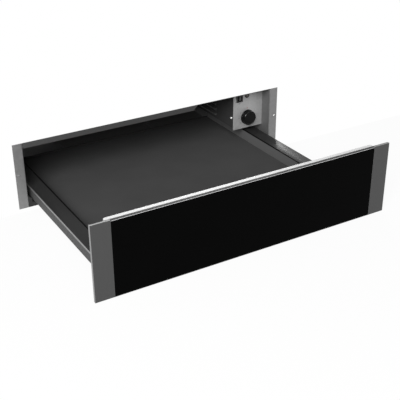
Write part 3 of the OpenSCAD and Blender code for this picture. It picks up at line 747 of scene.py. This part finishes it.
@dataclass
class Housing:
    """The flat housing with its frame strips, plates and feet.

    Attributes:
        fold_radius: The outer radius of the frame's folds.
        sheet: The thickness of the sheet.
        screw_from_edge: How far the back plate's screws lie from its edges.
        mid_screws: Where its screws near the middle stand, clear of the vents.
        side_screws: The places of the side walls' screws behind the frame.
        side_screw_rise: Their height above the housing's underside.
        hole_inset: How far the fixing holes lie inside the strips' outer edges.
        hole_d: Their diameter.
        collar_wall: The wall of the collar behind each hole.
        collar_depth: The depth of the collar.
        collar_edge: The width of its chamfer.
        dark_lip: How far back the base plate's front lip of painted shade reaches.
    """

    fold_radius: float = 1.8 * MM
    sheet: float = 1.0 * MM
    screw_from_edge: float = 9 * MM
    mid_screws: tuple[float, ...] = (-60 * MM, 90 * MM)
    side_screws: tuple[float, ...] = (70 * MM, 270 * MM, 470 * MM)
    side_screw_rise: float = 17 * MM
    hole_inset: float = 6 * MM
    hole_d: float = 5.2 * MM
    collar_wall: float = 0.8 * MM
    collar_depth: float = 1.0 * MM
    collar_edge: float = 0.2 * MM
    dark_lip: float = 12 * MM

    def build(self) -> None:
        """Makes the walls with their folds, dresses the plates and sets the screws."""
        for side, sign in SIDES.items():
            self.wall(side, sign)
        top = folded("top_plate", "housing_top", soft=0.3 * MM)
        dress(top, PLATE_SHEET, "dark_sheet", "housing", "housing_top")
        feet = folded("rubber_feet", "feet", soft=0.6 * MM)
        dress(feet, RUBBER, "rubber", "housing", "feet")
        dress_node("housing_back", FRAME_SHEET)
        base = folded("base_tray", "housing_base")
        dress(base, BASE_SHEET, "zinc_sheet", "housing", "housing_base")
        # Painted shade: the base plate's front lip in near-black sheet.
        dress_faces(base, SHADE_SHEET, lambda face: face.center.y < self.dark_lip)
        self.collars()
        self.screws()

    def wall(self, side: str, sign: int) -> None:
        """Makes one side wall with the fold where it turns out into the frame strip.

        Args:
            side: "left" or "right".
            sign: The side's sign on the x axis.
        """
        inner, _ = sides_of(f"housing_{side}", sign)
        folds = (Fold(2, (inner, 0.0), self.fold_radius),
                 Fold(2, (inner + sign * self.sheet, self.sheet), self.fold_radius - self.sheet))
        piece = folded(f"frame_wall_{side}", f"housing_{side}", folds)
        dress(piece, FRAME_SHEET, "zinc_sheet", "housing", f"housing_{side}")

    def collars(self) -> None:
        """Turns a collar behind each fixing hole, which sits in the niche's pilot hole; its near-black sheet
        is painted shade inside the hole.
        """
        _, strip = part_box("housing_right")
        centre = Vector((strip.x - self.hole_inset, self.sheet, 0.0))
        inner = self.hole_d / 2
        outer = inner + self.collar_wall
        first = turned("fixing_collar_right", centre, BACK, [
            (outer, 0.0), (outer, self.collar_depth - self.collar_edge),
            (outer - self.collar_edge, self.collar_depth)], sides=48)
        drill = turned("drill", centre - BACK * CLEAR, BACK,
                       [(inner, 0.0), (inner, self.collar_depth + 2 * CLEAR)], sides=48)
        cut_away(first, drill)
        smooth(first)
        second = copied(first, "fixing_collar_left", Vector((-2 * centre.x, 0, 0)))
        # Painted shade: the collars in near-black sheet.
        for collar in (first, second):
            dress(collar, SHADE_SHEET, "zinc_sheet", "housing")

    def screws(self) -> None:
        """Screws the back plate and the runners' supports to the walls."""
        low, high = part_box("housing_back")
        inset = self.screw_from_edge
        seats = [Vector((x, high.y, z)) for x in (low.x + inset, *self.mid_screws, high.x - inset)
                 for z in (low.z + inset, high.z - inset)]
        ScrewSet().row("back_screw", seats, BACK)
        low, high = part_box("housing_base")
        for (side, sign), wall in zip(SIDES.items(), (low.x, high.x)):
            seats = [Vector((wall, y, low.z + self.side_screw_rise)) for y in self.side_screws]
            ScrewSet().row(f"side_screw_{side}", seats, Vector((sign, 0, 0)))


@dataclass
class WarmAirBox:
    """The box at the housing's upper right, with the fan and the heater in it.

    Attributes:
        flap_radius: The radius of the fold at the panel's left edge.
        louvre_rim: How far the louvres' rims of painted highlight reach in from their outermost line.
        screw_slot_w: The width of the cover screw's slot.
    """

    flap_radius: float = 0.8 * MM
    louvre_rim: float = 0.9 * MM
    screw_slot_w: float = 0.8 * MM

    def build(self) -> None:
        """Makes the panel, the louvred side and its screw, and dresses what lies behind."""
        low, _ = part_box("control_panel")
        panel = folded("control_front", "control_panel", (Fold(2, (low.x, low.y), self.flap_radius),))
        dress(panel, PANEL_SHEET, "panel_sheet", "housing", "control_panel")
        louvres = folded("louvred_side", "louvre_panel", soft=0.12 * MM)
        dress(louvres, BOX_SHEET, "dark_sheet", "housing", "louvre_panel")
        pressed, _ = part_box("louvre_panel")
        # Painted highlight: the louvres' outer rims in pale steel.
        dress_faces(louvres, EDGE_HIGHLIGHT_STEEL, lambda face: face.center.x < pressed.x + self.louvre_rim)
        low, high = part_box("cover_screw")
        seat = Vector((high.x, (low.y + high.y) / 2, (low.z + high.z) / 2))
        screw = ScrewSet(high.y - low.y, high.x - low.x, self.screw_slot_w)
        dress(screw.first("flap_screw", seat, Vector((-1, 0, 0))),
              BRIGHT_STEEL, "bright_steel", "housing", "cover_screw")
        for node, finish in (("box_floor", BOX_SHEET), ("box_rear", BOX_SHEET), ("thermostat", DARK_PLASTIC),
                             ("selector_shaft", BRIGHT_STEEL), ("fan_casing", FRAME_SHEET),
                             ("fan_wheel", WHEEL_METAL), ("fan_motor", MOTOR_STEEL),
                             ("heating_element", HEATER_STEEL), ("thermal_cutout", DARK_PLASTIC)):
            dress_node(node, finish)


@dataclass
class Controls:
    """Knob, rocker switch, pilot lamp, a printed dot and marks of painted shade on the control panel.

    Attributes:
        knob_steps: The knob's outline in mm, as distances inside the skirt's edge and off the panel.
        pointer_w: The width of the pointer line on the knob's face.
        pointer_from: Where the line starts, as a share of the radius.
        pointer_deep: Its depth.
        skirt_h: The height of the knob's polished skirt.
        rim_h: The height of the polished rim round the knob's face.
        dull_face: The least forward share of the normal of its dull face.
        ring_w: The width of the lamp's ring.
        ring_h: The height of the ring.
        ring_edge: The width of its chamfer.
        lens_seat: How far off the panel the lens stands in the ring.
        lens_gap: The gap between lens and ring.
        lens_angles: The angles of the lens's stations over its dome, in degrees.
        grey_from: Where the rocker's grey half starts, as a share of its width.
        print_t: The thickness of the printed dot and of the painted shade marks.
        dot_d: The diameter of the index dot above the knob.
        mark_gap: How far the middles of the marks lie outside the knob.
        shade_marks: The painted shade marks' angles clockwise from the dot, and their sizes as shares of it.
        bar: The width and height of the painted shade bar under the switch.
        bar_gap: How far it lies below the switch.
    """

    knob_steps: tuple[tuple[float, float], ...] = (
        (0.4, 0.5), (0.0, 0.8), (0.0, 2.1), (0.3, 2.5), (1.6, 2.6), (1.6, 3.3), (1.0, 3.5), (1.0, 10.9),
        (1.25, 11.5), (1.9, 12.0), (3.4, 12.0), (3.9, 11.7))
    pointer_w: float = 1.2 * MM
    pointer_from: float = 0.45
    pointer_deep: float = 0.7 * MM
    skirt_h: float = 3.4 * MM
    rim_h: float = 1.0 * MM
    dull_face: float = 0.99
    ring_w: float = 1.2 * MM
    ring_h: float = 1.5 * MM
    ring_edge: float = 0.4 * MM
    lens_seat: float = 0.7 * MM
    lens_gap: float = 0.05 * MM
    lens_angles: tuple[float, ...] = (0, 15, 30, 45, 60, 75, 85)
    grey_from: float = 0.5
    print_t: float = 0.06 * MM
    dot_d: float = 2.4 * MM
    mark_gap: float = 4.0 * MM
    shade_marks: tuple[tuple[float, float], ...] = ((200, 0.55), (235, 0.65), (270, 0.75), (305, 0.85))
    bar: tuple[float, float] = (5.0 * MM, 1.2 * MM)
    bar_gap: float = 3.2 * MM

    def build(self) -> None:
        """Makes the controls from the panel outwards."""
        self.knob()
        self.switch()
        self.lamp()
        self.marks()

    def seat(self, node: str) -> tuple[Vector, float]:
        """Measures a round control.

        Args:
            node: Its CAD node.

        Returns:
            The middle of its seat on the panel, and its radius.
        """
        low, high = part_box(node)
        panel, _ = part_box("control_panel")
        return Vector(((low.x + high.x) / 2, panel.y, (low.z + high.z) / 2)), (high.x - low.x) / 2

    def knob(self) -> None:
        """Turns the knob with its skirt, groove, bevelled rim and dished face."""
        low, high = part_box("knob")
        centre, radius = self.seat("knob")
        knob = turned("selector_knob", centre, OUT,
                      [(radius - inside * MM, off * MM) for inside, off in self.knob_steps], sides=96)
        half = self.pointer_w / 2
        start = centre.z + radius * self.pointer_from
        cut_away(knob, block("pointer", Vector((centre.x - half, low.y - CLEAR, start)),
                             Vector((centre.x + half, low.y + self.pointer_deep, high.z + CLEAR))))
        smooth(knob, 25)
        dress(knob, KNOB_PLASTIC, "black_plastic", "selector", "knob")
        dress_faces(knob, SKIRT_PLASTIC, lambda face: face.center.y > centre.y - self.skirt_h
                    or (face.center.y < low.y + self.rim_h and face.normal.y > -self.dull_face))

    def switch(self) -> None:
        """Makes the rocker with its right half grey, and its bezel."""
        low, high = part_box("rocker")
        middle = low.x + (high.x - low.x) * self.grey_from
        rocker = folded("switch_rocker", "rocker", soft=0.3 * MM)
        in_edit(rocker, lambda: score((middle, 0, 0), (1, 0, 0)))
        dress(rocker, ROCKER_PLASTIC, "rocker_plastic", "switch", "rocker")
        dress_faces(rocker, GREY_HALF_PLASTIC, lambda face: face.center.x > middle)
        bezel = folded("switch_bezel", "switch_body", soft=0.25 * MM)
        dress(bezel, DARK_PLASTIC, "dark_plastic", "housing", "switch_body")

    def lamp(self) -> None:
        """Turns the lamp's dark ring and its domed lens."""
        low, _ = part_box("pilot_lamp")
        centre, radius = self.seat("pilot_lamp")
        inner = radius - self.ring_w
        ring = turned("lamp_ring", centre, OUT, [
            (radius, 0.0), (radius, self.ring_h - self.ring_edge), (radius - self.ring_edge, self.ring_h),
            (inner, self.ring_h), (inner, self.lens_seat), (inner / 2, self.lens_seat)])
        smooth(ring)
        dress(ring, KNOB_PLASTIC, "black_plastic", "housing", "pilot_lamp")
        wide = inner - self.lens_gap
        dome = centre.y - low.y - self.lens_seat
        steps = [math.radians(angle) for angle in self.lens_angles]
        lens = turned("lamp_lens", centre, OUT, [
            (wide * math.cos(a), self.lens_seat + dome * math.sin(a)) for a in steps])
        smooth(lens)
        dress(lens, LENS_PLASTIC, "lamp_plastic", "housing", "pilot_lamp")

    def marks(self) -> None:
        """Prints a red index dot over the knob, and paints shade as marks round it and a bar under the
        switch.
        """
        centre, knob_radius = self.seat("knob")
        # The red dot is print; the grey marks round the knob are painted shade.
        marks = [("index_dot", 0, 1.0, PRINT_RED)] + [
            (f"heat_mark_{number}", angle, share, PAINTED_SHADE_MARKS)
            for number, (angle, share) in enumerate(self.shade_marks, 1)]
        for name, angle, share, print_and_shade in marks:
            turn = math.radians(angle)
            way = Vector((math.sin(turn), 0, math.cos(turn)))
            size = self.dot_d / 2 * share
            mark = turned(name, centre + way * (knob_radius + self.mark_gap), OUT,
                          [(size, 0.0), (size, self.print_t), (size / 2, self.print_t)], sides=24)
            dress(mark, print_and_shade, "panel_sheet", "housing")
        low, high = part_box("switch_body")
        wide, tall = self.bar
        middle = Vector(((low.x + high.x) / 2, centre.y, low.z - self.bar_gap))
        # Painted shade: a dark bar under the switch.
        bar = block("switch_mark", middle - Vector((wide / 2, self.print_t, tall)),
                    middle + Vector((wide / 2, 0, 0)))
        soften(bar, self.print_t / 3, segments=1)
        dress(bar, PAINTED_SHADE_MARKS, "panel_sheet", "housing")


@dataclass
class Runners:
    """The two telescopic ball runners on their supports."""

    def build(self) -> None:
        """Dresses every member, cage and support."""
        for side in SIDES:
            for node, finish in (("runner_support", FRAME_SHEET), ("cabinet_rail", RUNNER_STEEL),
                                 ("middle_rail", RUNNER_STEEL), ("drawer_rail", RUNNER_STEEL),
                                 ("outer_cage", BRIGHT_STEEL), ("inner_cage", BRIGHT_STEEL)):
                dress_node(f"{node}_{side}", finish)


@dataclass
class Tray:
    """The tray with its side channels and its glass plate.

    Attributes:
        fold_radius: The outer radius of the channels' folds.
        hem: The width of the black line of painted shadow along the flange's inner edge.
        highlight_w: The width of the painted highlight along the outer edge.
        rear_lip: How far the pan's rear lip of painted shade reaches forward.
        level: The least upward share of the normal of the flange.
        upright: The least outward share of the normal of the outer wall.
    """

    fold_radius: float = 2.0 * MM
    hem: float = 3.4 * MM
    highlight_w: float = 1.6 * MM
    rear_lip: float = 8.0 * MM
    level: float = 0.8
    upright: float = 0.9

    def build(self) -> None:
        """Makes the channels, the plate and the pan."""
        for side, sign in SIDES.items():
            self.channel(side, sign)
        plate = folded("tray_glass", "tray_plate", soft=0.4 * MM)
        dress(plate, TRAY_GLASS, "plate_glass", "drawer", "tray_plate")
        pan = folded("tray_sheet_pan", "tray_pan")
        dress(pan, CHANNEL_SHEET, "tray_sheet", "drawer", "tray_pan")
        _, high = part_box("tray_pan")
        # Painted shade: the pan's rear lip in near-black sheet, as dark as the shaded floor's end.
        dress_faces(pan, SHADE_SHEET, lambda face: face.center.y > high.y - self.rear_lip)
        dress_node("keeper_plate", BRIGHT_STEEL)

    def channel(self, side: str, sign: int) -> None:
        """Makes one side channel with its folded top edges; its flange and outer wall carry painted shade,
        its inner edge a painted shadow line and its outer edge a painted highlight.

        Args:
            side: "left" or "right".
            sign: The side's sign on the x axis.
        """
        _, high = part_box(f"side_channel_{side}")
        inner, outer = sides_of(f"side_channel_{side}", sign)
        piece = folded(f"channel_{side}", f"side_channel_{side}",
                       [Fold(1, (edge, high.z), self.fold_radius) for edge in (outer, inner)])

        def mark_flange() -> None:
            """Scores the flange where the painted shadow line and the painted highlight begin."""
            for x in (inner + sign * self.hem, outer - sign * self.highlight_w):
                score((x, 0, 0), (1, 0, 0))

        in_edit(piece, mark_flange)
        dress(piece, CHANNEL_SHEET, "tray_sheet", "drawer", f"side_channel_{side}")
        # Painted shade: the flange and the outer wall are darker copies of the channel sheet.
        dress_faces(piece, SHADED_FLANGE_SHEET, lambda face: face.normal.z > self.level)
        # A painted shadow line along the inner edge and a painted highlight along the outer one.
        for finish, edge, width in ((SHADOW_LINE_SHEET, inner, self.hem), (FLANGE_HIGHLIGHT, outer, self.highlight_w)):
            dress_faces(piece, finish, lambda face: face.center.z > high.z - self.hem
                        and abs(face.center.x - edge) < width)
        dress_faces(piece, SHADED_OUTER_SHEET, lambda face: face.normal.x * sign > self.upright
                    and face.center.z < high.z - self.fold_radius)


@dataclass
class Front:
    """The drawer's front: carrier, bar, steel backing, glass and the two strips.

    Attributes:
        strip_radius: The radius of the strips' outer edges.
        brushed_face: The least forward share of the normal of a strip's brushed face.
        glass_chamfer: The width of the glass's ground chamfer, which carries a painted highlight along its
            top.
        chamfer_tilt: The least upward and forward shares of the normal of that top chamfer.
    """

    strip_radius: float = 0.5 * MM
    brushed_face: float = 0.9
    glass_chamfer: float = 0.6 * MM
    chamfer_tilt: float = 0.3

    def build(self) -> None:
        """Makes the front's visible pieces from the front plane to the carrier."""
        for side, sign in SIDES.items():
            low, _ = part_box(f"front_trim_{side}")
            _, outer = sides_of(f"front_trim_{side}", sign)
            strip = folded(f"steel_strip_{side}", f"front_trim_{side}",
                           (Fold(2, (outer, low.y), self.strip_radius),))
            dress(strip, FRONT_STEEL, "brushed_trim", "drawer", f"front_trim_{side}")
            # Painted highlight: the strips' edges in pale steel.
            dress_faces(strip, EDGE_HIGHLIGHT_STEEL, lambda face: face.normal.y > -self.brushed_face)
        glass = folded("front_glass_pane", "front_glass", soft=self.glass_chamfer)
        dress(glass, BLACK_GLASS, "black_glass", "drawer", "front_glass")
        # Painted highlight: only the top chamfer is pale.
        dress_faces(glass, GLASS_EDGE_HIGHLIGHT, lambda face: face.normal.z > self.chamfer_tilt
                    and face.normal.y < -self.chamfer_tilt)
        # Painted shade: the steel backing in near-black sheet.
        backing = folded("front_back_sheet", "front_backing")
        dress(backing, SHADE_SHEET, "brushed_trim", "drawer", "front_backing")
        bar = folded("carrier_bar", "top_bar", soft=0.5 * MM)
        dress(bar, BAR_STEEL, "brushed_trim", "drawer", "top_bar")
        # Painted shade: the carrier in near-black sheet, a dark line under the bar.
        carrier = folded("carrier_box", "front_carrier")
        dress(carrier, SHADE_SHEET, "dark_sheet", "drawer", "front_carrier")
        dress_node("buffers", RUBBER)


@dataclass
class Rear:
    """Latch under the tray, terminal block on the box and cord gland in the back plate."""

    def build(self) -> None:
        """Makes the moulded pieces with rounded edges."""
        for node, name, finish, slot, body, soft in (
                ("latch_body", "latch_case", GREY_PLASTIC, "grey_plastic", "housing", 0.4 * MM),
                ("latch_plunger", "latch_tongue", PALE_PLASTIC, "pale_plastic", "latch", 0.3 * MM),
                ("terminal_block", "terminal_strip", PALE_PLASTIC, "pale_plastic", "housing", 0.4 * MM),
                ("cord_gland", "gland_body", DARK_PLASTIC, "dark_plastic", "housing", 0.4 * MM)):
            dress(folded(name, node, soft=soft), finish, slot, body, node)


@dataclass(frozen=True)
class SoftBox:
    """A square lamp.

    Attributes:
        name: Its name.
        place: The place that it hangs at.
        aim: The point that it faces.
        size: Its width in metres.
        power: Its power in watts.
    """

    name: str
    place: tuple[float, float, float]
    aim: tuple[float, float, float]
    size: float
    power: float

    def hang(self) -> None:
        """Adds the lamp to the scene."""
        data = bpy.data.lights.new(self.name, "AREA")
        data.shape = "SQUARE"
        data.size = self.size
        data.energy = self.power
        lamp = bpy.data.objects.new(self.name, data)
        bpy.context.scene.collection.objects.link(lamp)
        lamp.location = self.place
        way = Vector(self.aim) - Vector(self.place)
        lamp.rotation_euler = way.to_track_quat("-Z", "Y").to_euler()
        LOG.info("%s: lamp", self.name)


@dataclass
class Studio:
    """Floor, white niche front, lamps, world and camera.

    Attributes:
        stage_size: The width of the floor and of the niche's front.
        wall_gap: How far the niche's front lies behind the frame's front plane.
        overlap: How far it reaches behind the frame's outline.
        white_share: The share of plain white in the floor that camera and gloss see.
        ambient: The world's strength where it lights the drawer.
        lamps: A large soft box at the front left, a weak one over the drawer and one behind.
        eye: The camera's place.
        azimuth: The camera's azimuth in degrees, 0 looking along +Y.
        elevation: Its elevation in degrees.
        roll: Its roll in degrees.
        lens: Its focal length in millimetres.
        sensor: The width of its sensor in millimetres.
    """

    stage_size: float = 12.0
    wall_gap: float = 0.4 * MM
    overlap: float = 0.3 * MM
    white_share: float = 0.92
    ambient: float = 0.25
    lamps: tuple[SoftBox, ...] = (
        SoftBox("left_box", (-1.75, -2.25, 1.80), (0.0, 0.0, 0.0), 1.8, 125.0),
        SoftBox("top_box", (0.3, -0.6, 2.4), (0.0, -0.1, 0.0), 1.6, 2.0),
        SoftBox("rear_box", (1.7, 3.2, 0.4), (0.0, 0.5, 0.0), 1.5, 70.0))
    eye: tuple[float, float, float] = (-0.6973, -1.3539, 0.6650)
    azimuth: float = -30.54
    elevation: float = 27.63
    roll: float = -0.38
    lens: float = 73.54
    sensor: float = 36.0

    def build(self) -> None:
        """Makes the stage and the camera."""
        self.floor()
        self.niche_front()
        for lamp in self.lamps:
            lamp.hang()
        self.world()
        self.camera()

    def plane(self, name: str, place: tuple[float, float, float], tilt: float) -> Piece:
        """Adds one of the stage's large planes.

        Args:
            name: Its name.
            place: Its middle.
            tilt: Its turn about the x axis in radians.

        Returns:
            The plane, at the origin with its place in its mesh.
        """
        deselect_all()
        bpy.ops.mesh.primitive_plane_add(size=self.stage_size, location=place, rotation=(tilt, 0, 0))
        piece = bpy.context.object
        piece.name = name
        apply_place(piece)
        LOG.info("%s: stage", name)
        return piece

    def floor(self) -> None:
        """Lays the pale floor under the feet, seen white with a faint shadow."""
        low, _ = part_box("feet")
        plane = self.plane("floor", (0, 0, low.z), 0)
        plane.data.materials.append(self.pale("pale floor", self.white_share, False))

    def niche_front(self) -> None:
        """Hangs the white front of the niche round the frame, seen from the front side only."""
        low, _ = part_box("housing_left")
        _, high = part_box("housing_right")
        wall = self.plane("niche_front", (0, self.wall_gap, 0), math.pi / 2)

        def cut() -> None:
            """Cuts the housing's place out of the plane."""
            for axis, across in ((0, (1, 0, 0)), (2, (0, 0, 1))):
                for at in (low[axis] + self.overlap, high[axis] - self.overlap):
                    score(Vector(across) * at, across)
            pick(wall, Part.FACE, lambda face: all(
                low[axis] < face.calc_center_median()[axis] < high[axis] for axis in (0, 2)))
            bpy.ops.mesh.delete(type="FACE")

        in_edit(wall, cut)
        wall.data.materials.append(self.pale("pale niche front", 1.0, True))
        wall.visible_diffuse = False
        wall.visible_glossy = False
        wall.visible_transmission = False
        wall.visible_shadow = False

    def seen(self, tree: Tree) -> Socket:
        """Tells what is seen from what lights.

        Args:
            tree: The node tree of a material or of the world.

        Returns:
            A socket with 1 for camera, gloss and transmission rays and 0 for the light itself.
        """
        rays = add_node(tree, "ShaderNodeLightPath").outputs
        seen = rays["Is Camera Ray"]
        for ray in ("Is Glossy Ray", "Is Transmission Ray"):
            seen = add_node(tree, "ShaderNodeMath", {"operation": "MAXIMUM"},
                            links={0: seen, 1: rays[ray]}).outputs[0]
        return seen

    def pale(self, name: str, white: float, one_sided: bool) -> bpy.types.Material:
        """Builds a pale stage material that camera and gloss see as white.

        Args:
            name: The material's name.
            white: The share of plain white in what they see; the rest takes the shadow.
            one_sided: Whether its back is clear.

        Returns:
            The material.
        """
        made = bpy.data.materials.new(name)
        made.use_nodes = True
        made.cycles.emission_sampling = "NONE"
        tree = made.node_tree
        tree.nodes.clear()
        plain = add_node(tree, "ShaderNodeBsdfDiffuse", values={"Color": linear("#f2f2f2")})
        glow = add_node(tree, "ShaderNodeEmission", values={"Color": linear("#ffffff"), "Strength": 1.0})
        share = add_node(tree, "ShaderNodeMath", {"operation": "MULTIPLY"}, {1: white},
                         {0: self.seen(tree)})
        surface = add_node(tree, "ShaderNodeMixShader", links={
            0: share.outputs[0], 1: plain.outputs[0], 2: glow.outputs[0]})
        if one_sided:
            clear = add_node(tree, "ShaderNodeBsdfTransparent")
            side = add_node(tree, "ShaderNodeNewGeometry")
            surface = add_node(tree, "ShaderNodeMixShader", links={
                0: side.outputs["Backfacing"], 1: surface.outputs[0], 2: clear.outputs[0]})
        add_node(tree, "ShaderNodeOutputMaterial", links={"Surface": surface.outputs[0]})
        return made

    def world(self) -> None:
        """Lights the room evenly; camera and gloss see it white."""
        world = bpy.data.worlds.new("studio")
        bpy.context.scene.world = world
        world.use_nodes = True
        world.cycles.sampling_method = "NONE"
        tree = world.node_tree
        tree.nodes.clear()
        strength = add_node(tree, "ShaderNodeMapRange", values={3: self.ambient, 4: 1.0},
                            links={0: self.seen(tree)})
        sky = add_node(tree, "ShaderNodeBackground", values={"Color": linear("#ffffff")},
                       links={"Strength": strength.outputs[0]})
        add_node(tree, "ShaderNodeOutputWorld", links={"Surface": sky.outputs[0]})

    def camera(self) -> None:
        """Sets the camera at the photograph's place and angle."""
        azimuth, elevation, roll = (math.radians(v) for v in (self.azimuth, self.elevation, self.roll))
        back = Vector((math.sin(azimuth) * math.cos(elevation),
                       -math.cos(azimuth) * math.cos(elevation), math.sin(elevation)))
        right = Vector((0, 0, 1)).cross(back).normalized()
        up = back.cross(right)
        rolled_right = math.cos(roll) * right + math.sin(roll) * up
        rolled_up = -math.sin(roll) * right + math.cos(roll) * up
        data = bpy.data.cameras.new("camera")
        data.sensor_width = self.sensor
        data.lens = self.lens
        camera = bpy.data.objects.new("camera", data)
        bpy.context.scene.collection.objects.link(camera)
        turn = Matrix((rolled_right, rolled_up, back)).transposed()
        camera.matrix_world = Matrix.LocRotScale(Vector(self.eye), turn.to_quaternion(), None)
        bpy.context.scene.camera = camera
        bpy.context.scene.view_settings.view_transform = "Standard"


def main() -> None:
    """Builds the drawer's looks in order."""
    logging.basicConfig(level=logging.INFO, format="%(name)s: %(message)s")
    Studio().build()
    Housing().build()
    WarmAirBox().build()
    Controls().build()
    Runners().build()
    Tray().build()
    Front().build()
    Rear().build()


if __name__ == "__main__":
    main()
